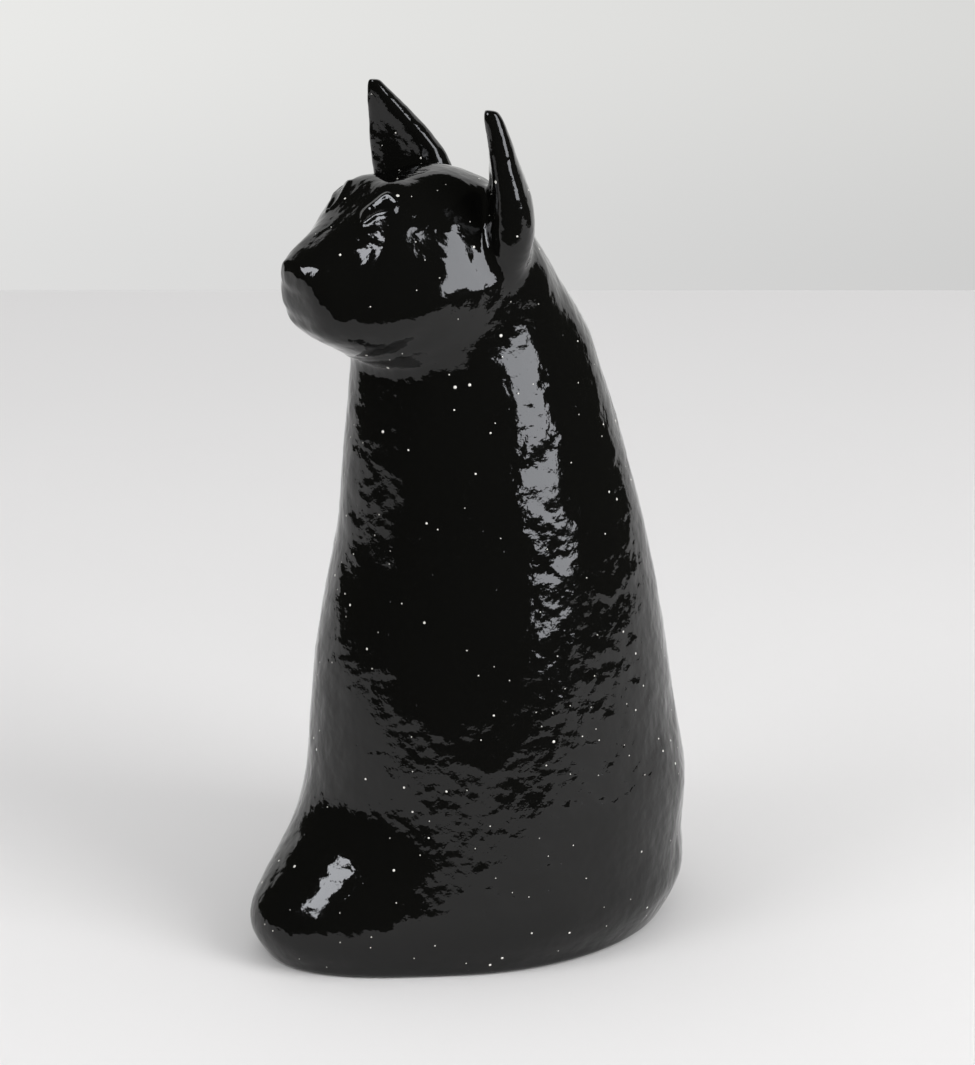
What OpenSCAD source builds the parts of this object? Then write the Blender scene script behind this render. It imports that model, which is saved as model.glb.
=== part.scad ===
// Seated ceramic cat, hollow, hand built from rolled clay and glazed.
// The cat faces -Y, its left side is +X and it stands on z = 0.
//
// The skin is one sweep of tilted rings. A ring lies across the cat between a
// front point and a back point on its middle plane. Rings rise level up the
// body, then fan over the nape and crown until they stand upright at the nose.
// Every clay piece is a block of that sweep: a run of rings, a span of angle
// round them and a depth below the skin, so neighbouring pieces meet exactly.

/* [Body] */
// Width across the haunches, the widest place
body_w = 172; // [150:1:195]
// From the upright axis back to the haunches
body_back = 119; // [104:1:130]
// From the upright axis forward to the front of the paws
paw_reach = 116; // [104:1:124]
// Height of the seam between body and head
neck_z = 285; // [250:1:320]

/* [Head] */
// Width of the head between the ears
head_w = 96; // [86:1:104]
// From the upright axis forward to the nose
head_len = 95; // [88:1:104]
// From the neck seam up to the crown
head_h = 99; // [90:1:110]

/* [Ears] */
// Height of the ear tips above the crown
ear_rise = 32; // [20:1:42]
// Distance between the outer edges of the two ears
ear_spread = 107; // [100:1:112]
// Turn of each ear, its outer edge brought forward
ear_turn = 30; // [20:1:40]

/* [Face] */
// Length of the eye from corner to corner
eye_len = 20; // [15:1:22]
// Height of the eyelid rolls above the face
lid_h = 1.2; // [0.8:0.1:2.4]

/* [Clay] */
// Thickness of the rolled clay
wall = 7; // [5:0.5:9]
// Thickness of the floor slab
slab = 8; // [6:0.5:10]
// Height of the floor slab above the table
slab_lift = 3; // [2:0.5:5]
// Size of the coil pressed into a seam
coil = 9; // [6:0.5:12]
// Diameter of the vent that lets air out in the kiln
vent_d = 20; // [12:1:30]
// Height of the top of the haunch and paw pieces
haunch_top = 92; // [80:1:105]
// Height of the seam between belly and shoulder pieces
belly_top = 195; // [170:1:215]

/* [Hidden] */
fy = paw_reach/116;
by = body_back/119;
bw = body_w/172;
bz = neck_z/285;
hy = head_len/95;
hw = head_w/96;
hz = head_h/99;

// front y, front z, back y, back z, half width, share of the ring ahead of its widest place,
// how much the ring narrows towards its back, roundness (1 is an ellipse, less is boxier)
BODY = [
    [-80*fy, 0, 107*by, 0, 78*bw, 0.5, 0, 1],
    [-82*fy, 20*bz, 117*by, 20*bz, 86*bw, 0.5, 0, 1],
    [-80*fy, 45*bz, 117*by, 45*bz, 86*bw, 0.5, 0, 1],
    [-77*fy, 75*bz, 119*by, 75*bz, 84.5*bw, 0.5, 0, 1],
    [-75*fy, 110*bz, 111.5*by, 110*bz, 80.5*bw, 0.5, 0, 1],
    [-71*fy, 150*bz, 106*by, 150*bz, 75.5*bw, 0.5, 0, 1],
    [-61*fy, 200*bz, 95*by, 200*bz, 68*bw, 0.5, 0, 1],
    [-57*fy, 248*bz, 80*by, 253*bz, 60*bw, 0.5, 0, 1],
];
// the same for the head, heights counted from the neck seam
HEAD = [
    [-53.5*hy, -5*hz, 67*by, 7*hz, 54*hw, 0.5, 0, 1],
    [-53.5*hy, 6*hz, 56*by, 28*hz, 51*hw, 0.5, 0, 1],
    [-57.5*hy, 9*hz, 43.5*by, 48*hz, 49*hw, 0.5, 0, 1],
    [-62*hy, 11*hz, 30*by, 69*hz, 48*hw, 0.5, 0.03, 1],
    [-64.5*hy, 13*hz, 14.5, 87*hz, 47.5*hw, 0.52, 0.06, 1],
    [-68*hy, 15*hz, -9, 97*hz, 45.5*hw, 0.52, 0.08, 0.9],
    [-74*hy, 19*hz, -31.5*hy, 95*hz, 41*hw, 0.54, 0.1, 0.78],
    [-80*hy, 22.5*hz, -48*hy, 93*hz, 35.5*hw, 0.54, 0.1, 0.68],
    [-85*hy, 27.5*hz, -57*hy, 86*hz, 29.5*hw, 0.52, 0.1, 0.6],
    [-87*hy, 32.5*hz, -68.5*hy, 76*hz, 23.5*hw, 0.48, 0.1, 0.56],
    [-89.5*hy, 38*hz, -82*hy, 68*hz, 17.5*hw, 0.46, 0.1, 0.58],
    [-91.5*hy, 46*hz, -93*hy, 61*hz, 11*hw, 0.48, 0.08, 0.66],
];
STATIONS = concat(BODY, [for (r = HEAD) [r[0], r[1] + neck_z, r[2], r[3] + neck_z, r[4], r[5], r[6], r[7]]]);
NECK = len(BODY);
MUZZLE = NECK + 8.5;
NOSE = len(STATIONS) - 1;

// paw, neck under the ear, hollow ahead of the ear, brow, jowl and lip on each side:
// x, y, z, radius, height
SWELLS = [
    [14*bw, -76*fy, 18, 36, 20],
    [47*hw, 12, neck_z + 51*hz, 20, 6],
    [48*hw, -15, neck_z + 69*hz, 9, -1.5],
    [16*hw, -46*hy, neck_z + 91*hz, 13, 1.5],
    [38*hw, -46*hy, neck_z + 36*hz, 24, 2],
    [10*hw, -88*hy, neck_z + 38*hz, 11, 1],
];

// ear slices from root to tip: height above the neck seam, outer edge moved in,
// edge moved back, length along the ear, thickness, hollow of the front face
EAR = [
    [25*hz, 14, 17, 16, 6, 0],
    [45*hz, 9, 10, 22, 13, 0],
    [65*hz, 3, 3, 32, 21, 0],
    [81*hz, 1, 0, 42, 23.5, 2.5],
    [95*hz, 0.5, -1, 39, 20.5, 4],
    [head_h + 0.22*ear_rise, 0.5, -1, 31, 16.5, 3],
    [head_h + 0.53*ear_rise, 0.7, -1, 21, 13.2, 1.6],
    [head_h + 0.81*ear_rise, 1.2, -1, 12, 9.5, 0.5],
    [head_h + 0.96*ear_rise, 2, 0, 6, 6, 0],
    [head_h + ear_rise, 3, 1, 2.5, 2.5, 0],
];
ear_y = -20;

step = 6;
FULL = [for (a = [0 : step : 360 - step]) a];

black_glaze = [0.07, 0.07, 0.07];
bare_clay = [0.33, 0.29, 0.26];

// ---- the sweep ----

// smooth curve through table rows, at any place between them
function between(a, b, c, d, t) =
    0.5*(2*b + (c - a)*t + (2*a - 5*b + 4*c - d)*t*t + (3*b - a - 3*c + d)*t*t*t);

function row_at(table, v) =
    let (last = len(table) - 1, i = min(floor(v), last - 1), b = table[i], c = table[i + 1],
        a = i > 0 ? table[i - 1] : 2*b - c, d = i < last - 1 ? table[i + 2] : 2*c - b)
    between(a, b, c, d, v - i);

function swelling(p) = [for (s = SWELLS, side = [-1, 1])
    s[4]*exp(-pow(norm(p - [side*s[0], s[1], s[2]])/s[3], 2))] * [for (s = SWELLS, side = [-1, 1]) 1];

// a point at angle u round ring s, measured from its front, at a depth below the skin
function ring_point(s, u, depth) =
    let (long = norm([s[2] - s[0], s[3] - s[1]]), along = [s[2] - s[0], s[3] - s[1]]/long,
        half = cos(u) > 0 ? s[5]*long : (1 - s[5])*long,
        centre = [0, s[0] + along[0]*s[5]*long, s[1] + along[1]*s[5]*long],
        across = sign(sin(u))*pow(abs(sin(u)), s[7])*(1 + s[6]*cos(u)),
        out = [s[4]*across, -along[0]*half*cos(u), -along[1]*half*cos(u)],
        in = [(s[4] - depth)*across, -along[0]*(half - depth)*cos(u), -along[1]*(half - depth)*cos(u)])
    centre + in + swelling(centre + out)*out/norm(out);

function ring(v, angles, depth) = let (s = row_at(STATIONS, v)) [for (u = angles) ring_point(s, u, depth)];

// the place in the sweep where the level rings of the body reach a height
function at_height(z, lo = 0, hi = NECK, tries = 24) =
    let (mid = (lo + hi)/2)
    tries == 0 ? mid
    : row_at(STATIONS, mid)[1] < z ? at_height(z, mid, hi, tries - 1)
    : at_height(z, lo, mid, tries - 1);

function places(v0, v1) = let (n = max(2, round((v1 - v0)*3))) [for (i = [0 : n]) v0 + (v1 - v0)*i/n];

// middle of the whole cat from front to back, so the origin is under its centre
reach = [for (v = places(0, NECK), u = [0, 180]) ring(v, [u], 0)[0][1]];
y_mid = (min(reach) + max(reach))/2;

module place() {
    translate([0, -y_mid, 0]) children();
}

// ---- solids made of grids of points ----

function flat(rows) = [for (r = rows, p = r) p];

// triangles between rows of n points starting at point `first`
function grid_faces(first, rows, n, closed, flip) = [for (j = [0 : rows - 2], i = [0 : n - (closed ? 1 : 2)])
    let (a = first + j*n + i, b = first + j*n + (i + 1)%n, c = a + n, d = b + n)
    each flip ? [[a, d, b], [a, c, d]] : [[a, b, d], [a, d, c]]];

// closed block between an outer and an inner grid of the same size
module block(outer, inner, closed) {
    rows = len(outer);
    n = len(outer[0]);
    m = rows*n;
    top = (rows - 1)*n;
    ends = [for (i = [0 : n - (closed ? 1 : 2)]) let (k = (i + 1)%n)
        each [[i, k + m, i + m], [i, k, k + m], [top + i, top + i + m, top + k + m], [top + i, top + k + m, top + k]]];
    sides = closed ? [] : [for (j = [0 : rows - 2]) let (a = j*n, b = a + n, c = a + n - 1, d = b + n - 1)
        each [[a, b + m, b], [a, a + m, b + m], [c, d, d + m], [c, d + m, c + m]]];
    polyhedron(concat(flat(outer), flat(inner)),
        concat(grid_faces(0, rows, n, closed, true), grid_faces(m, rows, n, closed, false), ends, sides));
}

// closed lump made of rings, its first and last rings closed to points
module lump(rings, tail, tip) {
    rows = len(rings);
    n = len(rings[0]);
    m = rows*n;
    polyhedron(concat(flat(rings), [tail, tip]),
        concat(grid_faces(0, rows, n, true, true),
            [for (i = [0 : n - 1]) [i, (i + 1)%n, m]],
            [for (i = [0 : n - 1]) [m - n + (i + 1)%n, m - n + i, m + 1]]));
}

// part of the clay wall between two places in the sweep
module clay(v0, v1, from = 0, to = 360) {
    closed = to - from == 360;
    angles = closed ? FULL : [for (a = [from : step : to]) a];
    vs = places(v0, v1);
    block([for (v = vs) ring(v, angles, 0)], [for (v = vs) ring(v, angles, wall)], closed);
}

function middle(points) = [for (k = [0 : 2]) [for (p = points) p[k]]*[for (p = points) 1]/len(points)];

nose_ring = ring(NOSE, FULL, 0);
nose_tip = middle(nose_ring) + [0, -1.5, 0];

// everything inside the skin of the head
module head_solid() {
    rings = [for (v = places(NECK, NOSE)) ring(v, FULL, 0)];
    lump(rings, middle(rings[0]), nose_tip);
}

// ---- the body ----

module base_slab() {
    low = at_height(slab_lift);
    high = at_height(slab_lift + slab);
    rings = [for (v = places(low, high)) ring(v, FULL, wall)];
    color(bare_clay) place() difference() {
        lump(rings, middle(rings[0]), middle(rings[len(rings) - 1]));
        translate([0, y_mid, 0]) cylinder(d = vent_d, h = 40, center = true, $fn = 48);
    }
}

// coil smoothed into a seam: the corners of its cut as [height, depth below the skin]
module seam_coil(cut) {
    rings = [for (c = cut) ring(at_height(c[0]), FULL, c[1])];
    n = len(FULL);
    color(bare_clay) place() polyhedron(flat(rings),
        concat(grid_faces(0, len(rings), n, true, true),
            [for (i = [0 : n - 1]) let (k = (i + 1)%n, a = (len(rings) - 1)*n)
                each [[a + i, k, a + k], [a + i, i, k]]]));
}

module base_coil() {
    floor_z = slab_lift + slab;
    seam_coil(concat([[floor_z, wall]], [for (a = [90 : -15 : 0]) [floor_z + coil*sin(a), wall + coil*cos(a)]]));
}

module waist_coil() {
    seam_coil([for (a = [90 : -22.5 : -90]) [belly_top + coil*sin(a), wall + 0.6*coil*cos(a)]]);
}

module haunch_wall() {
    color(black_glaze) place() clay(0, at_height(haunch_top), 60, 300);
}

module paw_mound() {
    color(black_glaze) place() clay(0, at_height(haunch_top), -60, 60);
}

module belly_wall() {
    color(black_glaze) place() clay(at_height(haunch_top), at_height(belly_top));
}

module shoulder_wall() {
    color(black_glaze) place() clay(at_height(belly_top), NECK);
}

// ---- the head ----

module skull() {
    color(black_glaze) place() clay(NECK, MUZZLE);
}

// a thimble of clay, closed at the nose and thicker there
module muzzle() {
    outer = [for (v = places(MUZZLE, NOSE)) ring(v, FULL, 0)];
    inner = [for (v = [MUZZLE, MUZZLE + 0.6]) ring(v, FULL, wall)];
    n = len(FULL);
    m = len(outer)*n;
    tips = m + 2*n;
    color(black_glaze) place() polyhedron(concat(flat(outer), flat(inner), [nose_tip, middle(inner[1])]),
        concat(grid_faces(0, len(outer), n, true, true), grid_faces(m, 2, n, true, false),
            [for (i = [0 : n - 1]) let (k = (i + 1)%n)
                each [[i, k + m, i + m], [i, k, k + m],
                    [m - n + k, m - n + i, tips], [m + n + i, m + n + k, tips + 1]]]));
}

// one slice of an ear: long and thin, blunt at both ends, hollowed on its front face
function ear_slice(v) =
    let (s = row_at(EAR, v), blade = [-cos(ear_turn), sin(ear_turn)], thick = [sin(ear_turn), cos(ear_turn)],
        edge = [ear_spread/2 - s[1], ear_y + s[2]])
    [for (a = [0 : 15 : 345])
        let (c = sign(cos(a))*pow(abs(cos(a)), 0.8), n = sign(sin(a))*pow(abs(sin(a)), 0.8),
            cup = sin(a) < 0 ? s[5]*(1 - c*c) : 0,
            p = edge + blade*s[3]*(1 - c)/2 + thick*(s[4]*(1 + n)/2 + cup))
        [p[0], p[1], neck_z + s[0]]];

// the ear is scribed to the head so that it sits on the skin
module ear() {
    slices = [for (v = [0 : 0.25 : len(EAR) - 1]) ear_slice(v)];
    color(black_glaze) place() resize([0, 0, 0]) difference() {
        lump(slices, middle(slices[0]), middle(slices[len(slices) - 1]));
        head_solid();
    }
}

module left_ear() {
    ear();
}

module right_ear() {
    mirror([1, 0, 0]) ear();
}

// ---- the eyes ----

// a thin roll of clay lying on the face; `lift` bows it above or below the eye's axis
module lid(lift, side) {
    middle_v = NECK + 7.7;
    half_v = eye_len/25;
    us = [-1, -0.6, -0.2, 0.2, 0.6, 1];
    places = [for (i = [-6 : 6]) i/6];
    rows = [for (t = places) let (v = middle_v + half_v*t, s = row_at(STATIONS, v),
            u = 150 + 7*t + lift*(1 - t*t), fat = sqrt(1.1 - t*t))
        [for (k = us) [s, side*(u + k*2.6*fat), 0.15 + lid_h*fat*(1 - k*k)]]];
    outer = [for (r = rows) [for (q = r) ring_point(q[0], q[1], -q[2])]];
    inner = [for (r = rows) [for (q = r) ring_point(q[0], q[1], 0)]];
    color(black_glaze) place() if (side > 0) block(outer, inner, false); else block(inner, outer, false);
}

module left_upper_lid() {
    lid(10.5, 1);
}

module right_upper_lid() {
    lid(10.5, -1);
}

module left_lower_lid() {
    lid(-7, 1);
}

module right_lower_lid() {
    lid(-7, -1);
}

base_slab();
base_coil();
haunch_wall();
paw_mound();
belly_wall();
waist_coil();
shoulder_wall();
skull();
muzzle();
left_ear();
right_ear();
left_upper_lid();
right_upper_lid();
left_lower_lid();
right_lower_lid();
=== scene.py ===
"""Shapes, glazes and lights a seated, hand-built ceramic cat."""

import math

import bmesh
import bpy
import numpy as np
from bpy.props import FloatProperty, FloatVectorProperty, IntProperty, PointerProperty
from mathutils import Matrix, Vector
from mathutils.bvhtree import BVHTree


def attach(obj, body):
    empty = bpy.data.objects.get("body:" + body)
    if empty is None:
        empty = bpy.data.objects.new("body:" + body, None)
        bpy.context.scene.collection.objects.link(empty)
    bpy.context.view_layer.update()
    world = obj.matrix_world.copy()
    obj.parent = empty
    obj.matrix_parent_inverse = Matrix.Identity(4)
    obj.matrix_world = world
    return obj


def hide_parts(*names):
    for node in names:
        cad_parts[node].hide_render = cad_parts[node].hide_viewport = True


bl_info = {
    "name": "Black Glazed Cat",
    "version": (1, 0, 0),
    "blender": (4, 5, 0),
    "location": "View3D > Sidebar > Cat",
    "description": "Shapes and glazes a seated hand-built ceramic cat",
    "category": "Object",
}

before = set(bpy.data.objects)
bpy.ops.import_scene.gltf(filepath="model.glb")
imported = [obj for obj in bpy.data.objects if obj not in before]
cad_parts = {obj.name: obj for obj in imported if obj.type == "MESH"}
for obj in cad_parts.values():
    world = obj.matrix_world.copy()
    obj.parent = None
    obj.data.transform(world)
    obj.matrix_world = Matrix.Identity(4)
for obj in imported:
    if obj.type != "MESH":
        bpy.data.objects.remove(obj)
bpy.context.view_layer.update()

MM = 0.001

# ---- the shape of the clay, in millimetres ----

# front y, front z, back y, back z, half width, share of the ring ahead of its widest place,
# how much the ring narrows towards its back, and its roundness: 1 is an ellipse, less is boxier
STATIONS = np.array([
    (-80, 0, 107, 0, 78, 0.5, 0, 1),
    (-82, 20, 117, 20, 86, 0.5, 0, 1),
    (-80, 45, 117, 45, 86, 0.5, 0, 1),
    (-77, 75, 119, 75, 84.5, 0.5, 0, 1),
    (-75, 110, 111.5, 110, 80.5, 0.5, 0, 1),
    (-71, 150, 106, 150, 75.5, 0.5, 0, 1),
    (-61, 200, 95, 200, 68, 0.5, 0, 1),
    (-57, 248, 80, 253, 60, 0.5, 0, 1),
    (-53.5, 280, 67, 292, 54, 0.5, 0, 1),
    (-53.5, 291, 56, 313, 51, 0.5, 0, 1),
    (-57.5, 294, 43.5, 333, 49, 0.5, 0, 1),
    (-62, 296, 30, 354, 48, 0.5, 0.03, 1),
    (-64.5, 298, 14.5, 372, 47.5, 0.52, 0.06, 1),
    (-68, 300, -9, 382, 45.5, 0.52, 0.08, 0.9),
    (-74, 304, -31.5, 380, 40.3, 0.54, 0.1, 0.78),
    (-80, 307.5, -48, 378, 34.2, 0.54, 0.1, 0.68),
    (-85, 312.5, -57, 371, 29, 0.52, 0.1, 0.6),
    (-87, 317.5, -68.5, 361, 23.8, 0.48, 0.1, 0.56),
    (-89.5, 323, -82, 353, 18.4, 0.46, 0.1, 0.58),
    (-91.5, 331, -93, 346, 11, 0.48, 0.08, 0.66),
], float)
NECK, MUZZLE, NOSE = 8.0, 16.5, 19.0
HAUNCH_TOP, BELLY_TOP, WALL, SLAB_Z, VENT_R = 92.0, 195.0, 7.0, 3.0, 10.0

# paw, neck under the ear, hollow ahead of the ear, brow, jowl, lip and whisker pad on each side:
# x, y, z, radius, height
SWELLS = np.array([
    (14, -76, 18, 36, 20),
    (47, 12, 336, 20, 6),
    (48, -15, 354, 9, -1.5),
    (16, -46, 376, 13, 1.5),
    (38, -46, 321, 24, 2),
    (10, -88, 323, 11, 1),
    (22, -82, 339, 11, 1.7),
], float)

# ear slices from root to tip: height, outer edge moved in, edge moved back,
# length along the ear, thickness, hollow of the front face
EAR = np.array([
    (310, 14, 17, 16, 6, 0),
    (330, 9, 10, 22, 13, 0),
    (350, 3, 3, 32, 21, 0),
    (366, 1, 0, 42, 23.5, 2.5),
    (380, 0.5, -1, 39, 20.5, 4),
    (391, 0.5, -1, 31, 16.5, 3),
    (401, 0.7, -1, 21, 13.2, 1.6),
    (410, 1.2, -1, 12, 9.5, 0.5),
    (415, 2, 0, 6, 6, 0),
    (416, 3, 1, 2.5, 2.5, 0),
], float)
EAR_SPREAD, EAR_Y, EAR_TURN = 107.0, -20.0, math.radians(30)

# eyelid rolls as places in the sweep and angles round it, inner corner to outer
LIDS = {
    "upper": ((16.5, 157), (16.26, 163), (15.7, 160), (15.2, 156), (14.92, 143)),
    "lower": ((16.5, 157), (16.4, 149.5), (15.94, 146), (15.44, 139.5), (15.1, 137.5), (14.92, 143)),
}


def rows_at(table, places):
    """Rows of a table on a smooth curve through it."""
    last = len(table) - 1
    v = np.clip(np.asarray(places, float), 0, last)
    i = np.minimum(v.astype(int), last - 1)
    t = (v - i)[:, None]
    b, c = table[i], table[i + 1]
    a = np.where((i > 0)[:, None], table[np.maximum(i - 1, 0)], 2 * b - c)
    d = np.where((i < last - 1)[:, None], table[np.minimum(i + 2, last)], 2 * c - b)
    return 0.5 * (2 * b + (c - a) * t + (2 * a - 5 * b + 4 * c - d) * t**2 + (3 * b - a - 3 * c + d) * t**3)


def skin(places, angles, depth=0.0):
    """Points of the cat's skin, or below it: one row for each place in the sweep."""
    s = rows_at(STATIONS, places)
    front, span = s[:, None, 0:2], s[:, None, 2:4] - s[:, None, 0:2]
    long = np.linalg.norm(span, axis=2)
    along = span / long[..., None]
    wide, share, pinch, box = (s[:, None, k] for k in (4, 5, 6, 7))
    turn = np.asarray(angles)[None, :]
    half = np.where(np.cos(turn) > 0, share, 1 - share) * long
    centre = front + along * (share * long)[..., None]

    def at(below):
        yz = centre - along * ((half - below) * np.cos(turn))[..., None]
        x = (wide - below) * np.sign(np.sin(turn)) * np.abs(np.sin(turn)) ** box * (1 + pinch * np.cos(turn))
        return np.concatenate([x[..., None], yz], axis=2)

    out = at(0.0)
    middle = np.concatenate([np.zeros_like(centre[..., :1]), centre], axis=2)
    push = np.zeros(out.shape[:2])
    for x, y, z, radius, height in SWELLS:
        for side in (1, -1):
            push += height * np.exp(-((out - (side * x, y, z)) ** 2).sum(2) / radius**2)
    outward = out - middle
    outward /= np.linalg.norm(outward, axis=2, keepdims=True)
    return at(depth) + outward * push[..., None]


def at_height(z):
    """Place in the sweep where the level rings of the body reach a height."""
    places = np.linspace(0, NECK, 801)
    return np.interp(z, rows_at(STATIONS, places)[:, 1], places)


reach = skin(np.linspace(0, NECK, 25), np.array([0, math.pi]))[..., 1]
Y_MID = (reach.min() + reach.max()) / 2


def placed(points):
    """Table millimetres to the frame's metres, with the origin under the cat's middle."""
    return (points - (0, Y_MID, 0)) * MM


def tabled(points):
    """The frame's metres back to table millimetres."""
    return points / MM + (0, Y_MID, 0)


def lump(rows):
    """Corner points and faces of rows of rings, closed at both ends."""
    n, m = rows.shape[:2]
    points = np.vstack([rows.reshape(-1, 3), rows[0].mean(0), rows[-1].mean(0)])
    k = np.arange(m)
    faces = []
    for j in range(n - 1):
        a, b = j * m + k, j * m + (k + 1) % m
        faces += np.stack([a, b, b + m, a + m], 1).tolist()
    faces += [(n * m, (i + 1) % m, i) for i in range(m)]
    faces += [(n * m + 1, (n - 1) * m + i, (n - 1) * m + (i + 1) % m) for i in range(m)]
    return points, faces


def body_lump():
    """The whole cat without its ears, with foot edge, recessed floor and vent underneath.

    The skin has no inside, so the vent is drawn as a blind tube 70 mm deep.
    """
    turn = np.linspace(0, 2 * math.pi, 240, endpoint=False)
    circle = np.stack([np.sin(turn), -np.cos(turn)], 1)
    under = []
    for radius, z in ((VENT_R, 70), (VENT_R, SLAB_Z + 1), (VENT_R + 1, SLAB_Z)):
        ring = np.column_stack([circle * radius, np.full(len(turn), float(z))])
        ring[:, 1] += Y_MID
        under.append(ring)
    for depth, z in (
        (WALL + 1, SLAB_Z), (WALL, SLAB_Z - 0.8), (WALL - 0.5, 0.7), (WALL - 1.5, 0), (2, 0), (0.7, 0.5)):
        ring = skin([at_height(z)], turn, depth)[0]
        ring[:, 2] = z
        under.append(ring)
    places = np.linspace(at_height(2.0), NOSE, 240)
    outer = skin(places, turn)
    tip = outer[-1:] * 0.5 + outer[-1].mean(0) * 0.5 + (0, -1.4, 0)
    return lump(np.concatenate([under, outer, tip]))


def ear_lump(side):
    """One ear blade, its root buried in the head."""
    s = rows_at(EAR, np.linspace(0, len(EAR) - 1, 90))[:, None, :]
    turn = np.linspace(0, 2 * math.pi, 96, endpoint=False)[None, :]
    c = np.sign(np.cos(turn)) * np.abs(np.cos(turn)) ** 0.8
    n = np.sign(np.sin(turn)) * np.abs(np.sin(turn)) ** 0.8
    along = s[..., 3] * (1 - c) / 2
    back = s[..., 4] * (1 + n) / 2 + np.where(n < 0, s[..., 5] * (1 - c * c), 0)
    x = EAR_SPREAD / 2 - s[..., 1] - math.cos(EAR_TURN) * along + math.sin(EAR_TURN) * back
    y = EAR_Y + s[..., 2] + math.sin(EAR_TURN) * along + math.cos(EAR_TURN) * back
    rows = np.stack([x, y, np.broadcast_to(s[..., 0], x.shape)], 2)
    if side < 0:
        rows = rows[:, ::-1] * (-1, 1, 1)
    return lump(rows)


# ---- working on meshes ----


def shown(mesh, name=None):
    """A new object in the scene for a mesh."""
    obj = bpy.data.objects.new(name or mesh.name, mesh)
    bpy.context.scene.collection.objects.link(obj)
    return obj


def finished(obj):
    """The plain mesh that an object's modifiers give. The object itself is taken away."""
    made = bpy.data.meshes.new_from_object(obj.evaluated_get(bpy.context.evaluated_depsgraph_get()))
    old = obj.data
    bpy.data.objects.remove(obj)
    bpy.data.meshes.remove(old)
    return made


def corners(mesh):
    """A mesh's points as rows of x, y, z."""
    co = np.empty(len(mesh.vertices) * 3)
    mesh.vertices.foreach_get("co", co)
    return co.reshape(-1, 3)


def relaxed(co, edges, weight, rounds):
    """Moves each point towards the middle of its neighbours."""
    n = len(co)
    count = np.bincount(edges.ravel(), minlength=n)[:, None]
    for _ in range(rounds):
        total = np.empty_like(co)
        for k in range(3):
            total[:, k] = np.bincount(
                edges[:, 0], co[edges[:, 1], k], n) + np.bincount(edges[:, 1], co[edges[:, 0], k], n)
        co = co + weight * (total / count - co)
    return co


def gaps(tree, points):
    """Distance from each point to the surface in a search tree."""
    return np.array([tree.find_nearest(p)[3] for p in points])


def score(bm, values):
    """Cuts the faces along the line where the values at their corners change sign."""
    ends = np.array([(e.verts[0].index, e.verts[1].index) for e in bm.edges])
    a, b = values[ends[:, 0]], values[ends[:, 1]]
    bm.edges.ensure_lookup_table()
    crossed = [(bm.edges[k], a[k] / (a[k] - b[k])) for k in np.flatnonzero(a * b < 0)]
    line = [bmesh.utils.edge_split(edge, edge.verts[0], min(max(t, 0.03), 0.97))[1] for edge, t in crossed]
    bmesh.ops.connect_verts(bm, verts=line)
    bm.verts.index_update()


def spots(bm):
    """The points of a mesh being edited as rows of x, y, z."""
    return np.array([v.co for v in bm.verts])


# ---- seams between the clay pieces: where each value changes sign ----


def tilted_plane(place):
    """Signed distance of table points ahead of the ring at a place in the sweep."""
    fy, fz, by, bz = rows_at(STATIONS, [place])[0][:4]
    long = math.hypot(by - fy, bz - fz)
    return lambda p: ((p[:, 2] - fz) * (by - fy) - (p[:, 1] - fy) * (bz - fz)) / long


above_neck = tilted_plane(NECK)
past_muzzle = tilted_plane(MUZZLE)


def level_ring(p):
    """Centre, half widths ahead and behind, and half width across of the body at each point's height."""
    s = rows_at(STATIONS, at_height(np.clip(p[:, 2], 0, 280)))
    long = s[:, 2] - s[:, 0]
    centre = s[:, 0] + s[:, 5] * long
    return centre, s[:, 5] * long, (1 - s[:, 5]) * long, s[:, 4]


def past_paws(p):
    """Above zero for points on the paw mound's side of its seam."""
    centre, ahead, _, _ = level_ring(p)
    return (centre - p[:, 1]) / ahead - 0.5


def inside_foot(p):
    """Above zero for points inside the foot edge, where the floor slab sits."""
    centre, ahead, behind, across = level_ring(p)
    half = np.where(p[:, 1] < centre, ahead, behind) - WALL - 0.4
    return 1 - np.hypot((p[:, 1] - centre) / half, p[:, 0] / (across - WALL - 0.4))


def lid_curve(name, side):
    """The line along the middle of an eyelid roll, on the skin."""
    turn = np.array([(p, math.radians(a)) for p, a in LIDS[name]])
    fine = rows_at(turn, np.linspace(0, len(turn) - 1, 60))
    return np.array([skin([p], [side * a])[0, 0] for p, a in fine])


def from_curve(points, curve):
    """Distance from each point to a curve, and how far along it that is, 0 to 1."""
    d = np.linalg.norm(points[:, None, :] - curve[None], axis=2)
    near = d.argmin(1)
    return d[np.arange(len(points)), near], near / (len(curve) - 1)


# ---- node trees ----


def linear(code):
    """sRGB hex to linear colour."""
    parts = [int(code[i:i + 2], 16) / 255 for i in (1, 3, 5)]
    return tuple(c / 12.92 if c <= 0.04045 else ((c + 0.055) / 1.055) ** 2.4 for c in parts)


def node(tree, kind, links=None, **settings):
    """Adds a node. Settings are its properties; links are its inputs, each a value or another node's output."""
    made = tree.nodes.new(kind)
    for key, value in settings.items():
        setattr(made, key, value)
    for key, value in (links or {}).items():
        socket = made.inputs[key]
        if isinstance(value, bpy.types.NodeSocket):
            tree.links.new(value, socket)
        else:
            socket.default_value = value
    return made


def material(name):
    """A new material with an empty node tree."""
    made = bpy.data.materials.new(name)
    made.use_nodes = True
    made.node_tree.nodes.clear()
    return made, made.node_tree


def surfaced(tree, shader):
    """Joins a shader to the material's output."""
    node(tree, "ShaderNodeOutputMaterial", {"Surface": shader.outputs[0]})


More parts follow.
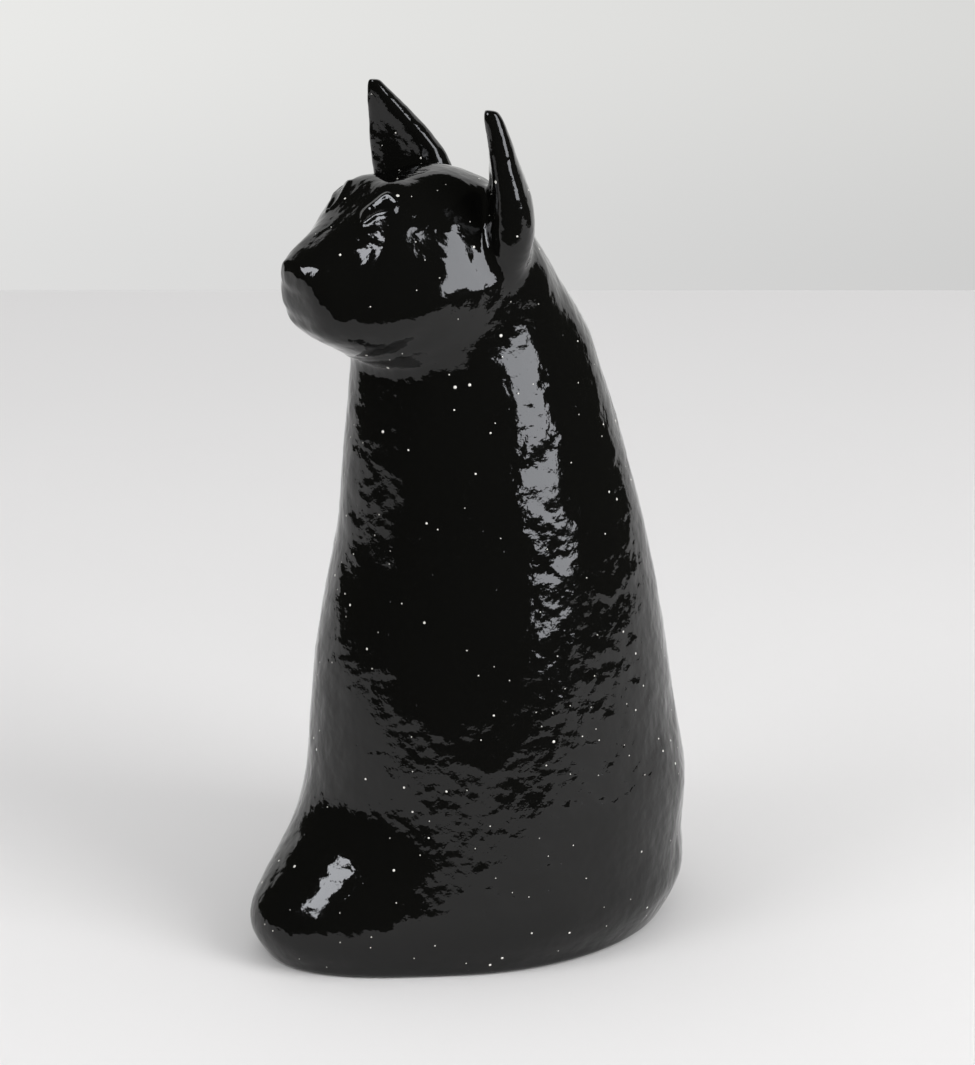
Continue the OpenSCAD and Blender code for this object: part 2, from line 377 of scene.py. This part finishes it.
def gloss_black_stoneware_glaze(cat):
    """Fired gloss glaze, iron black: a glassy skin that mirrors the room, over dabbed clay."""
    made, tree = material("gloss_black_stoneware_glaze")
    place = node(tree, "ShaderNodeTexCoord").outputs["Object"]
    # glass pooling and thinning changes the polish a little over some 20 mm
    pool = node(tree, "ShaderNodeTexNoise", {"Vector": place, "Scale": 50, "Detail": 3})
    polish = node(
        tree, "ShaderNodeMapRange",
        {"Value": pool.outputs[0], "From Min": 0.3, "From Max": 0.7, "To Min": 0.03, "To Max": 0.075})
    # orange peel of the melted glaze, 2.5 mm across and a tenth of a millimetre deep
    peel = node(tree, "ShaderNodeTexNoise", {"Vector": place, "Scale": 400, "Detail": 2})
    skin_bump = node(
        tree, "ShaderNodeBump", {"Height": peel.outputs[0], "Distance": 0.0001, "Strength": 1.0})
    # pinholes where gas left the melt, half a millimetre wide, some 9 mm apart
    pins = node(tree, "ShaderNodeTexVoronoi", {"Vector": place, "Scale": 110})
    hole = node(
        tree, "ShaderNodeMapRange",
        {"Value": pins.outputs["Distance"], "From Min": 0.02, "From Max": 0.05})
    pin_bump = node(
        tree, "ShaderNodeBump",
        {"Height": hole.outputs[0], "Distance": 0.0001, "Strength": 1.0, "Normal": skin_bump.outputs[0]})
    # glass gives the mirror, iron in it the black; the index is set under a glaze's usual 1.5 for a darker mirror
    shader = node(tree, "ShaderNodeBsdfPrincipled", {
        "Base Color": (*cat.glaze_colour, 1), "Roughness": polish.outputs[0], "IOR": 1.4, "Normal": pin_bump.outputs[0]})
    surfaced(tree, shader)
    return made


def white_glaze_fleck(cat):
    """Specks of undissolved white oxide held in the glaze: opaque, softly glossy."""
    made, tree = material("white_glaze_fleck")
    place = node(tree, "ShaderNodeTexCoord").outputs["Object"]
    grain = node(tree, "ShaderNodeTexNoise", {"Vector": place, "Scale": 900, "Detail": 1})
    tone = node(tree, "ShaderNodeValToRGB", {"Fac": grain.outputs[0]})
    tone.color_ramp.elements[0].color = (*linear("#B9B7B0"), 1)
    tone.color_ramp.elements[1].color = (*cat.fleck_colour, 1)
    tone.color_ramp.elements[1].position = 0.6
    shader = node(
        tree, "ShaderNodeBsdfPrincipled", {"Base Color": tone.outputs[0], "Roughness": 0.3, "IOR": 1.5})
    surfaced(tree, shader)
    return made


def bare_fired_stoneware(cat):
    """Unglazed stoneware under the foot: dry, brown, with fine sand in it."""
    made, tree = material("bare_fired_stoneware")
    place = node(tree, "ShaderNodeTexCoord").outputs["Object"]
    cloud = node(tree, "ShaderNodeTexNoise", {"Vector": place, "Scale": 60, "Detail": 4})
    grit = node(tree, "ShaderNodeTexNoise", {"Vector": place, "Scale": 1600, "Detail": 2})
    tone = node(tree, "ShaderNodeValToRGB", {"Fac": cloud.outputs[0]})
    tone.color_ramp.elements[0].color = (*linear("#3E342C"), 1)
    tone.color_ramp.elements[1].color = (*cat.clay_colour, 1)
    bump = node(tree, "ShaderNodeBump", {"Height": grit.outputs[0], "Distance": 0.0002, "Strength": 0.8})
    shader = node(
        tree, "ShaderNodeBsdfPrincipled",
        {"Base Color": tone.outputs[0], "Roughness": 0.85, "IOR": 1.5, "Normal": bump.outputs[0]})
    surfaced(tree, shader)
    return made


def matt_white_paper(cat):
    """Heavy matt studio paper: even, pale, no shine."""
    made, tree = material("matt_white_paper")
    place = node(tree, "ShaderNodeTexCoord").outputs["Object"]
    cloud = node(tree, "ShaderNodeTexNoise", {"Vector": place, "Scale": 2.5, "Detail": 2})
    tone = node(tree, "ShaderNodeValToRGB", {"Fac": cloud.outputs[0]})
    tone.color_ramp.elements[0].color = (*[c * 0.97 for c in cat.floor_colour], 1)
    tone.color_ramp.elements[1].color = (*cat.floor_colour, 1)
    shader = node(
        tree, "ShaderNodeBsdfPrincipled",
        {"Base Color": tone.outputs[0], "Roughness": 0.95, "IOR": 1.3, "Specular IOR Level": 0.1})
    surfaced(tree, shader)
    return made


def group(name, *inputs):
    """A geometry node tree with named inputs."""
    tree = bpy.data.node_groups.new(name, "GeometryNodeTree")
    tree.interface.new_socket("Geometry", in_out="INPUT", socket_type="NodeSocketGeometry")
    for label, kind in inputs:
        tree.interface.new_socket(label, in_out="INPUT", socket_type="NodeSocket" + kind)
    tree.interface.new_socket("Geometry", in_out="OUTPUT", socket_type="NodeSocketGeometry")
    return tree, tree.nodes.new("NodeGroupInput").outputs, tree.nodes.new("NodeGroupOutput")


def apply_group(obj, tree, **values):
    """Puts a node tree on an object with its inputs set by their sockets' identifiers."""
    modifier = obj.modifiers.new(tree.name, "NODES")
    modifier.node_group = tree
    for item in tree.interface.items_tree:
        key = item.name.lower().replace(" ", "_")
        if item.in_out == "INPUT" and key in values:
            modifier[item.identifier] = values[key]
    return obj


def worked_clay_tree():
    """Moves a surface in and out along its normal in three sizes of dent, as hands leave it."""
    tree, given, out = group(
        "worked_clay", ("Seed", "Float"),
        *[(f"{part} {what}", "Float") for part in ("Swell", "Dab", "Nick") for what in ("Size", "Depth")])
    total = None
    for k, part in enumerate(("Swell", "Dab", "Nick")):
        scale = node(
            tree, "ShaderNodeMath", {0: 1.0, 1: given[part + " Size"]}, operation="DIVIDE").outputs[0]
        w = node(tree, "ShaderNodeMath", {0: given["Seed"], 1: 7.3 * k}, operation="ADD").outputs[0]
        noise = node(
            tree, "ShaderNodeTexNoise", {"W": w, "Scale": scale, "Detail": 1.0, "Roughness": 0.4},
            noise_dimensions="4D")
        centred = node(
            tree, "ShaderNodeMath", {0: noise.outputs[0], 1: 0.5}, operation="SUBTRACT").outputs[0]
        deep = node(
            tree, "ShaderNodeMath", {0: centred, 1: given[part + " Depth"]},
            operation="MULTIPLY").outputs[0]
        total = deep if total is None else node(
            tree, "ShaderNodeMath", {0: total, 1: deep}, operation="ADD").outputs[0]
    mask = node(tree, "GeometryNodeInputNamedAttribute", {"Name": "worked"}, data_type="FLOAT").outputs[0]
    total = node(tree, "ShaderNodeMath", {0: total, 1: mask}, operation="MULTIPLY").outputs[0]
    normal = node(tree, "GeometryNodeInputNormal").outputs[0]
    move = node(tree, "ShaderNodeVectorMath", {0: normal, "Scale": total}, operation="SCALE").outputs[0]
    moved = node(tree, "GeometryNodeSetPosition", {"Geometry": given["Geometry"], "Offset": move})
    tree.links.new(moved.outputs[0], out.inputs[0])
    return tree


def fleck_tree():
    """Scatters small flat domes over a surface, most of them tiny."""
    tree, given, out = group(
        "glaze_flecks", ("Seed", "Int"), ("Density", "Float"), ("Spacing", "Float"), ("Smallest", "Float"),
        ("Largest", "Float"), ("Material", "Material"))
    points = node(tree, "GeometryNodeDistributePointsOnFaces", {
        "Mesh": given["Geometry"], "Distance Min": given["Spacing"], "Density Max": given["Density"], "Seed": given["Seed"]}, distribute_method="POISSON")
    chance = node(tree, "FunctionNodeRandomValue", {"Seed": given["Seed"]}, data_type="FLOAT")
    rare = node(tree, "ShaderNodeMath", {0: chance.outputs["Value"], 1: 3.0}, operation="POWER").outputs[0]
    size = node(
        tree, "ShaderNodeMapRange",
        {"Value": rare, "To Min": given["Smallest"], "To Max": given["Largest"]}).outputs[0]
    dome = node(tree, "GeometryNodeMeshUVSphere", {"Segments": 8, "Rings": 4, "Radius": 1.0})
    flat = node(tree, "GeometryNodeTransform", {"Geometry": dome.outputs[0], "Scale": (1, 1, 0.22)})
    smooth = node(tree, "GeometryNodeSetShadeSmooth", {"Geometry": flat.outputs[0]})
    placed_domes = node(tree, "GeometryNodeInstanceOnPoints", {
        "Points": points.outputs["Points"], "Instance": smooth.outputs[0], "Rotation": points.outputs["Rotation"], "Scale": size})
    real = node(tree, "GeometryNodeRealizeInstances", {"Geometry": placed_domes.outputs[0]})
    painted = node(
        tree, "GeometryNodeSetMaterial", {"Geometry": real.outputs[0], "Material": given["Material"]})
    tree.links.new(painted.outputs[0], out.inputs[0])
    return tree


# ---- settings ----


class CatSettings(bpy.types.PropertyGroup):
    """Sizes and colours of the cat that a maker would change."""

    cell: FloatProperty(
        name="Clay mesh size", description="Side of one face of the modelled surface", default=0.9 * MM,
        unit="LENGTH")
    fillet: FloatProperty(
        name="Ear fillet", description="Reach of the clay smoothed in round each ear", default=12 * MM,
        unit="LENGTH")
    lid_height: FloatProperty(
        name="Eyelid height", description="Rise of the eyelid rolls above the face", default=1.0 * MM,
        unit="LENGTH")
    lid_width: FloatProperty(
        name="Eyelid width", description="Half width of the eyelid rolls", default=2.2 * MM, unit="LENGTH")
    swell_size: FloatProperty(
        name="Swell size", description="Distance between broad swells", default=38 * MM, unit="LENGTH")
    swell_depth: FloatProperty(
        name="Swell depth", description="Depth of broad swells", default=2.0 * MM, unit="LENGTH")
    dab_size: FloatProperty(
        name="Dab size", description="Distance between finger dabs", default=13 * MM, unit="LENGTH")
    dab_depth: FloatProperty(
        name="Dab depth", description="Depth of finger dabs", default=1.0 * MM, unit="LENGTH")
    nick_size: FloatProperty(
        name="Nick size", description="Distance between tool nicks", default=4.5 * MM, unit="LENGTH")
    nick_depth: FloatProperty(
        name="Nick depth", description="Depth of tool nicks", default=0.4 * MM, unit="LENGTH")
    fleck_density: FloatProperty(
        name="Fleck density", description="Flecks on a square metre of glaze", default=2100, min=0)
    fleck_small: FloatProperty(
        name="Smallest fleck", description="Radius of the smallest fleck", default=0.28 * MM,
        unit="LENGTH")
    fleck_large: FloatProperty(
        name="Largest fleck", description="Radius of the largest fleck", default=0.85 * MM, unit="LENGTH")
    seed: IntProperty(name="Seed", description="Changes the dents and flecks", default=4)
    glaze_colour: FloatVectorProperty(
        name="Glaze", description="Colour of the glaze", subtype="COLOR", default=linear("#0B0B0A"))
    fleck_colour: FloatVectorProperty(
        name="Flecks", description="Colour of the flecks", subtype="COLOR", default=linear("#ECEAE4"))
    clay_colour: FloatVectorProperty(
        name="Clay", description="Colour of the bare clay", subtype="COLOR", default=linear("#6A584A"))
    floor_colour: FloatVectorProperty(
        name="Floor", description="Colour of the paper floor", subtype="COLOR", default=linear("#EDECEC"))


# the modelled surface, kept between the operators
clay = {}


def modelled_clay(cat):
    """The whole cat as one closed surface: ears blended in, seams scored, eyelids raised, dents worked."""
    cell = cat.cell * 1
    lumps = [body_lump(), ear_lump(1), ear_lump(-1)]
    points, faces, first = [], [], 0
    for p, f in lumps:
        points.append(placed(p))
        faces += [[k + first for k in face] for face in f]
        first += len(p)
    raw = bpy.data.meshes.new("raw_clay")
    raw.from_pydata(np.vstack(points).tolist(), [], faces)
    obj = shown(raw)
    remesh = obj.modifiers.new("remesh", "REMESH")
    remesh.mode, remesh.voxel_size, remesh.use_smooth_shade = "VOXEL", cell, True
    mesh = finished(obj)
    co = corners(mesh)
    edges = np.empty(len(mesh.edges) * 2, int)
    mesh.edges.foreach_get("vertices", edges)
    edges = edges.reshape(-1, 2)
    for _ in range(3):
        co = relaxed(co, edges, 0.5, 1)
        co = relaxed(co, edges, -0.52, 1)

    # ears: smooth the joins and note which points are ear
    trees = [BVHTree.FromPolygons(placed(p).tolist(), f) for p, f in lumps]
    ear_side = np.full(len(co), -1.0)
    join = np.zeros(len(co))
    near = np.flatnonzero(
        (co[:, 2] > 0.3) & (np.abs(co[:, 0]) > 0.008) & (co[:, 1] > -0.05) & (co[:, 1] < 0.045))
    for side, tree in ((1, trees[1]), (-1, trees[2])):
        some = near[co[near, 0] * side > 0]
        to_ear, to_skin = gaps(tree, co[some]), gaps(trees[0], co[some])
        ear_side[some] = (to_skin - to_ear) / MM
        join[some] = np.clip(1 - (to_ear + to_skin) / cat.fillet, 0, 1)
    rounds = 150
    co = relaxed(co, edges, 0.5 * join[:, None], rounds)
    mesh.vertices.foreach_set("co", co.ravel())

    bm = bmesh.new()
    bm.from_mesh(mesh)
    layer = bm.verts.layers.float.new("ear_side")
    for v, value in zip(bm.verts, ear_side):
        v[layer] = value
    score(bm, ear_side)
    t = tabled(spots(bm))
    score(bm, above_neck(t))
    t = tabled(spots(bm))
    score(bm, np.where((t[:, 1] < -20) & (t[:, 2] > 290), past_muzzle(t), -1))
    for z in (HAUNCH_TOP, BELLY_TOP):
        score(bm, tabled(spots(bm))[:, 2] - z)
    t = tabled(spots(bm))
    score(bm, np.where((t[:, 2] < HAUNCH_TOP + 2) & (inside_foot(t) < 0), past_paws(t), 1))
    t = tabled(spots(bm))
    score(bm, np.where(t[:, 2] < 8, inside_foot(t), -1))

    # finer faces round the eyes, then the eyelid seams
    eyes = lambda p: (np.abs(p[:, 0]) < 34) & (p[:, 1] > -76) & (p[:, 1] < -40) & (p[:, 2] > 352)
    inside = eyes(tabled(spots(bm)))
    around = [e for e in bm.edges if inside[e.verts[0].index] and inside[e.verts[1].index]]
    bmesh.ops.subdivide_edges(bm, edges=around, cuts=1, use_grid_fill=True)
    bm.verts.index_update()
    curves = {(name, side): lid_curve(name, side) for name in LIDS for side in (1, -1)}

    def lid_values(t):
        best, which, rise = np.full(len(t), -9.0), np.full(len(t), -1), np.zeros(len(t))
        some = np.flatnonzero(eyes(t))
        for k, curve in enumerate(curves.values()):
            d, along = from_curve(t[some], curve)
            wide = cat.lid_width / MM * (0.35 + 0.65 * np.sqrt(np.clip(4 * along * (1 - along), 0, 1)))
            value = wide - d
            better = value > best[some]
            which[some[better]] = k
            best[some] = np.maximum(best[some], value)
            rise[some] = np.maximum(
                rise[some],
                cat.lid_height / MM * (wide / (cat.lid_width / MM)) * np.exp(-((d / wide) ** 2) * 1.8))
        return best, which, rise

    score(bm, lid_values(tabled(spots(bm)))[0])
    bm.normal_update()
    made = bpy.data.meshes.new("worked_clay")
    bm.to_mesh(made)
    bm.free()

    co = corners(made)
    t = tabled(co)
    normals = np.empty(len(co) * 3)
    made.vertices.foreach_get("normal", normals)
    co += normals.reshape(-1, 3) * (lid_values(t)[2] * MM)[:, None]
    made.vertices.foreach_set("co", co.ravel())
    worked = made.attributes.new("worked", "FLOAT", "POINT")
    floor_side = inside_foot(t)
    mask = np.clip(t[:, 2] / 6, 0, 1) * np.where((floor_side > -0.02) & (t[:, 2] < 75), 0.15, 1)
    worked.data.foreach_set("value", mask)
    obj = apply_group(
        shown(made), worked_clay_tree(), seed=float(cat.seed), swell_size=cat.swell_size, swell_depth=cat.swell_depth,
        dab_size=cat.dab_size, dab_depth=cat.dab_depth, nick_size=cat.nick_size, nick_depth=cat.nick_depth)
    made = finished(obj)

    # which piece each face belongs to
    sizes = np.empty(len(made.polygons), int)
    made.polygons.foreach_get("loop_total", sizes)
    verts = np.empty(len(made.loops), int)
    made.loops.foreach_get("vertex_index", verts)
    starts = np.concatenate([[0], np.cumsum(sizes)[:-1]])
    mean = lambda a: np.add.reduceat(a[verts], starts, axis=0) / (sizes[:, None] if a.ndim > 1 else sizes)
    spot = mean(t)
    side_value = np.empty(len(made.vertices))
    made.attributes["ear_side"].data.foreach_get("value", side_value)
    label = np.full(len(sizes), "shoulder_wall", dtype=object)
    label[spot[:, 2] < BELLY_TOP] = "belly_wall"
    low = spot[:, 2] < HAUNCH_TOP
    label[low] = "haunch_wall"
    label[low & (past_paws(spot) > 0)] = "paw_mound"
    label[(inside_foot(spot) > 0) & (spot[:, 2] < 75)] = "base_slab"
    head = above_neck(spot) > 0
    label[head] = "skull"
    label[head & (spot[:, 1] < -20) & (past_muzzle(spot) > 0)] = "muzzle"
    ear = mean(side_value) > 0
    label[ear & (spot[:, 0] > 0)] = "left_ear"
    label[ear & (spot[:, 0] < 0)] = "right_ear"
    value, which, _ = lid_values(spot)
    for k, (name, side) in enumerate(curves):
        label[(value > 0) & (which == k)] = f"{'left' if side > 0 else 'right'}_{name}_lid"
    clay.update(mesh=made, label=label, sizes=sizes, starts=starts, verts=verts)


def taken(name):
    """The faces of one clay piece as a mesh of its own, open at its seams, shaded as part of the whole."""
    mesh = clay["mesh"]
    some = np.flatnonzero(clay["label"] == name)
    loops = [clay["verts"][s:s + n] for s, n in zip(clay["starts"][some], clay["sizes"][some])]
    used, flat = np.unique(np.concatenate(loops), return_inverse=True)
    faces, k = [], 0
    for n in clay["sizes"][some]:
        faces.append(flat[k:k + n].tolist())
        k += n
    made = bpy.data.meshes.new(name)
    made.from_pydata(corners(mesh)[used].tolist(), [], faces)
    normals = np.empty(len(mesh.vertices) * 3)
    mesh.vertices.foreach_get("normal", normals)
    made.shade_smooth()
    made.normals_split_custom_set_from_vertices(normals.reshape(-1, 3)[used].tolist())
    return made


def clay_piece(name, look):
    """Puts one finished clay piece in place of its plain solid."""
    obj = shown(taken(name), name + "_clay")
    obj.data.materials.append(look)
    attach(obj, "root")
    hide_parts(name)


def look(name, maker, cat):
    """A material by name, made the first time it is asked for."""
    return bpy.data.materials.get(name) or maker(cat)


def glaze(cat):
    return look("gloss_black_stoneware_glaze", gloss_black_stoneware_glaze, cat)


def bare(cat):
    return look("bare_fired_stoneware", bare_fired_stoneware, cat)


# ---- operators ----


class CAT_OT_clay(bpy.types.Operator):
    """Model the whole surface of the cat, ready to be taken apart into its clay pieces"""

    bl_idname = "cat.clay"
    bl_label = "Model the clay"

    def execute(self, context):
        modelled_clay(context.scene.cat_settings)
        return {"FINISHED"}


class CAT_OT_foot(bpy.types.Operator):
    """Make the floor slab with its vent and finish the coils inside"""

    bl_idname = "cat.foot"
    bl_label = "Floor slab and coils"

    def execute(self, context):
        cat = context.scene.cat_settings
        clay_piece("base_slab", bare(cat))
        for name in ("base_coil", "waist_coil"):
            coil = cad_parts[name]
            coil.data.materials.clear()
            coil.data.materials.append(bare(cat))
        return {"FINISHED"}


class CAT_OT_walls(bpy.types.Operator):
    """Make the courses of the body wall and the paw mound"""

    bl_idname = "cat.walls"
    bl_label = "Body walls"

    def execute(self, context):
        cat = context.scene.cat_settings
        for name in ("haunch_wall", "paw_mound", "belly_wall", "shoulder_wall"):
            clay_piece(name, glaze(cat))
        return {"FINISHED"}


class CAT_OT_head(bpy.types.Operator):
    """Make the skull and the muzzle"""

    bl_idname = "cat.head"
    bl_label = "Head"

    def execute(self, context):
        cat = context.scene.cat_settings
        for name in ("skull", "muzzle"):
            clay_piece(name, glaze(cat))
        return {"FINISHED"}


class CAT_OT_ears(bpy.types.Operator):
    """Make the two ears"""

    bl_idname = "cat.ears"
    bl_label = "Ears"

    def execute(self, context):
        cat = context.scene.cat_settings
        for name in ("left_ear", "right_ear"):
            clay_piece(name, glaze(cat))
        return {"FINISHED"}


class CAT_OT_eyelids(bpy.types.Operator):
    """Make the rolls of clay above and below the eyes"""

    bl_idname = "cat.eyelids"
    bl_label = "Eyelids"

    def execute(self, context):
        cat = context.scene.cat_settings
        for side in ("left", "right"):
            for name in LIDS:
                clay_piece(f"{side}_{name}_lid", glaze(cat))
        return {"FINISHED"}


class CAT_OT_flecks(bpy.types.Operator):
    """Scatter the white flecks held in the glaze"""

    bl_idname = "cat.flecks"
    bl_label = "Glaze flecks"

    def execute(self, context):
        cat = context.scene.cat_settings
        glazed = clay["mesh"]
        bm = bmesh.new()
        bm.from_mesh(glazed)
        bm.faces.ensure_lookup_table()
        bmesh.ops.delete(
            bm, geom=[bm.faces[k] for k in np.flatnonzero(clay["label"] == "base_slab")], context="FACES")
        surface = bpy.data.meshes.new("fleck_ground")
        bm.to_mesh(surface)
        bm.free()
        obj = apply_group(
            shown(surface), fleck_tree(), seed=cat.seed, density=cat.fleck_density, spacing=5 * MM,
            smallest=cat.fleck_small, largest=cat.fleck_large, material=look(
                "white_glaze_fleck", white_glaze_fleck, cat))
        flecks = finished(obj)
        flecks.name = "glaze_flecks"
        obj = shown(flecks, "glaze_flecks")
        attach(obj, "root")
        return {"FINISHED"}


class CAT_OT_stage(bpy.types.Operator):
    """Set the paper floor, the two softboxes, the room and the camera"""

    bl_idname = "cat.stage"
    bl_label = "Floor, lights and camera"

    def execute(self, context):
        cat = context.scene.cat_settings
        scene = context.scene
        azimuth, elevation = math.radians(56.5), math.radians(17)
        away = Vector((-math.sin(azimuth), math.cos(azimuth), 0))

        # sheet of paper, its near edge half a metre in front of the cat
        across = Vector((math.cos(azimuth), math.sin(azimuth), 0))
        near, far, half = -0.55, 1.36, 1.25
        edge = [
            away * d + across * w - Vector((0, 0, 0.0002)) for d,
            w in ((near, -half), (near, half), (far, half), (far, -half))]
        floor_mesh = bpy.data.meshes.new("paper_floor")
        floor_mesh.from_pydata(edge, [], [(0, 1, 2, 3)])
        floor_mesh.materials.append(look("matt_white_paper", matt_white_paper, cat))
        shown(floor_mesh, "paper_floor")

        aim = Vector((0, 0, 0.2))
        # each softbox is two lamps on nearly one bearing: one only mirrored in the glaze, one only lighting matt things
        for name, az, el, away_m, wide, tall, watts, mirrored in (
            ("side_softbox", 112, 27, 1.6, 0.86, 1.7, 40, True),
            ("front_softbox", 2, 38, 1.5, 0.64, 0.68, 18, True),
            ("side_fill", 112, 21, 2.4, 1.3, 2.2, 43, False),
            ("front_fill", 3, 38, 2.25, 1.0, 1.0, 11, False),
        ):
            a, e = math.radians(az), math.radians(el)
            towards = Vector((math.sin(a) * math.cos(e), -math.cos(a) * math.cos(e), math.sin(e)))
            lamp = bpy.data.lights.new(name, "AREA")
            lamp.shape, lamp.size, lamp.size_y, lamp.energy = "RECTANGLE", wide, tall, watts
            obj = bpy.data.objects.new(name, lamp)
            scene.collection.objects.link(obj)
            obj.location = aim + towards * away_m
            obj.rotation_euler = (-towards).to_track_quat("-Z", "Y").to_euler()
            obj.visible_camera = False
            lamp.color = (0.93, 0.95, 1) if mirrored else (1, 1, 1)
            obj.visible_diffuse, obj.visible_glossy = not mirrored, mirrored

        # the room: the paper goes on up behind the cat, and behind the camera it is dark.
        # It is not one room: the camera, matt things and the glaze are each given a brightness of their own.
        world = bpy.data.worlds.new("studio_room")
        world.use_nodes = True
        tree = world.node_tree
        tree.nodes.clear()
        way = node(tree, "ShaderNodeTexCoord").outputs["Generated"]
        facing = node(
            tree, "ShaderNodeVectorMath", {0: way, 1: tuple(away)},
            operation="DOT_PRODUCT").outputs["Value"]
        aside = node(
            tree, "ShaderNodeVectorMath", {0: way, 1: tuple(across)},
            operation="DOT_PRODUCT").outputs["Value"]
        aside_size = node(tree, "ShaderNodeMath", {0: aside}, operation="ABSOLUTE").outputs[0]
        height = node(tree, "ShaderNodeSeparateXYZ", {0: way}).outputs["Z"]
        in_width = node(
            tree, "ShaderNodeMath", {0: aside_size, 1: -0.95, 2: facing},
            operation="MULTIPLY_ADD").outputs[0]
        room_top = node(tree, "ShaderNodeMath", {0: facing, 1: 0.75}, operation="MULTIPLY").outputs[0]
        in_height = node(tree, "ShaderNodeMath", {0: room_top, 1: height}, operation="SUBTRACT").outputs[0]
        least = node(tree, "ShaderNodeMath", {0: in_width, 1: in_height}, operation="MINIMUM").outputs[0]
        share = node(
            tree, "ShaderNodeMapRange", {"Value": least, "From Min": -0.03, "From Max": 0.05},
            interpolation_type="SMOOTHSTEP").outputs[0]
        room = node(
            tree, "ShaderNodeMix",
            {"Factor": share, "A": (0.026, 0.026, 0.021, 1), "B": (0.78, 0.78, 0.77, 1)}, data_type="RGBA")
        # painted shade on the backdrop the camera sees: the paper beyond the floor sheet is painted darker low down and
        # lighter higher up
        rise = node(
            tree, "ShaderNodeMapRange", {"Value": height, "From Min": -0.229, "From Max": -0.155},
            interpolation_type="SMOOTHSTEP").outputs[0]
        wall = node(
            tree, "ShaderNodeMix",
            {"Factor": rise, "A": (0.725, 0.725, 0.72, 1), "B": (0.81, 0.81, 0.795, 1)},
            data_type="RGBA").outputs["Result"]
        # painted shade on the backdrop the camera sees: darker towards the camera's right, a little brighter towards
        # its left
        left = node(
            tree, "ShaderNodeMapRange",
            {
                "Value": aside, "From Min": -0.15, "From Max": 0.15, "To Min": 1.02,
                "To Max": 0.85}).outputs[0]
        wall = node(tree, "ShaderNodeVectorMath", {0: wall, "Scale": left}, operation="SCALE").outputs[0]
        rays = node(tree, "ShaderNodeLightPath")
        lit = node(
            tree, "ShaderNodeMix",
            {
                "Factor": rays.outputs["Is Diffuse Ray"], "A": room.outputs["Result"],
                "B": (0.68, 0.68, 0.68, 1)},
            data_type="RGBA")
        seen = node(
            tree, "ShaderNodeMix",
            {"Factor": rays.outputs["Is Camera Ray"], "A": lit.outputs["Result"], "B": wall},
            data_type="RGBA")
        back = node(tree, "ShaderNodeBackground", {"Color": seen.outputs["Result"], "Strength": 1.0})
        node(tree, "ShaderNodeOutputWorld", {"Surface": back.outputs[0]})
        scene.world = world
        scene.view_settings.view_transform = "Standard"

        lens = bpy.data.cameras.new("camera")
        lens.sensor_width, lens.lens = 36, 125
        camera = bpy.data.objects.new("camera", lens)
        scene.collection.objects.link(camera)
        towards = Vector(
            (
                math.sin(azimuth) * math.cos(elevation), -math.cos(azimuth) * math.cos(elevation),
                math.sin(elevation)))
        camera.location = Vector((1.6, 14.27 - Y_MID, 197.9)) * MM + towards * 1.8
        camera.rotation_euler = (-towards).to_track_quat("-Z", "Y").to_euler()
        scene.camera = camera
        return {"FINISHED"}


OPERATORS = (
    CAT_OT_clay, CAT_OT_foot, CAT_OT_walls, CAT_OT_head, CAT_OT_ears, CAT_OT_eyelids, CAT_OT_flecks,
    CAT_OT_stage)


class CAT_PT_panel(bpy.types.Panel):
    """The cat's settings and the steps that make it"""

    bl_idname = "CAT_PT_panel"
    bl_label = "Black Glazed Cat"
    bl_space_type = "VIEW_3D"
    bl_region_type = "UI"
    bl_category = "Cat"

    def draw(self, context):
        for name in CatSettings.__annotations__:
            self.layout.prop(context.scene.cat_settings, name)
        for step in OPERATORS:
            self.layout.operator(step.bl_idname)


CLASSES = (CatSettings, *OPERATORS, CAT_PT_panel)


def register():
    for cls in CLASSES:
        bpy.utils.register_class(cls)
    bpy.types.Scene.cat_settings = PointerProperty(type=CatSettings)


def unregister():
    del bpy.types.Scene.cat_settings
    for cls in reversed(CLASSES):
        bpy.utils.unregister_class(cls)


def main():
    register()
    bpy.ops.cat.clay()
    bpy.ops.cat.foot()
    bpy.ops.cat.walls()
    bpy.ops.cat.head()
    bpy.ops.cat.ears()
    bpy.ops.cat.eyelids()
    bpy.ops.cat.flecks()
    bpy.ops.cat.stage()


if __name__ == "__main__":
    main()
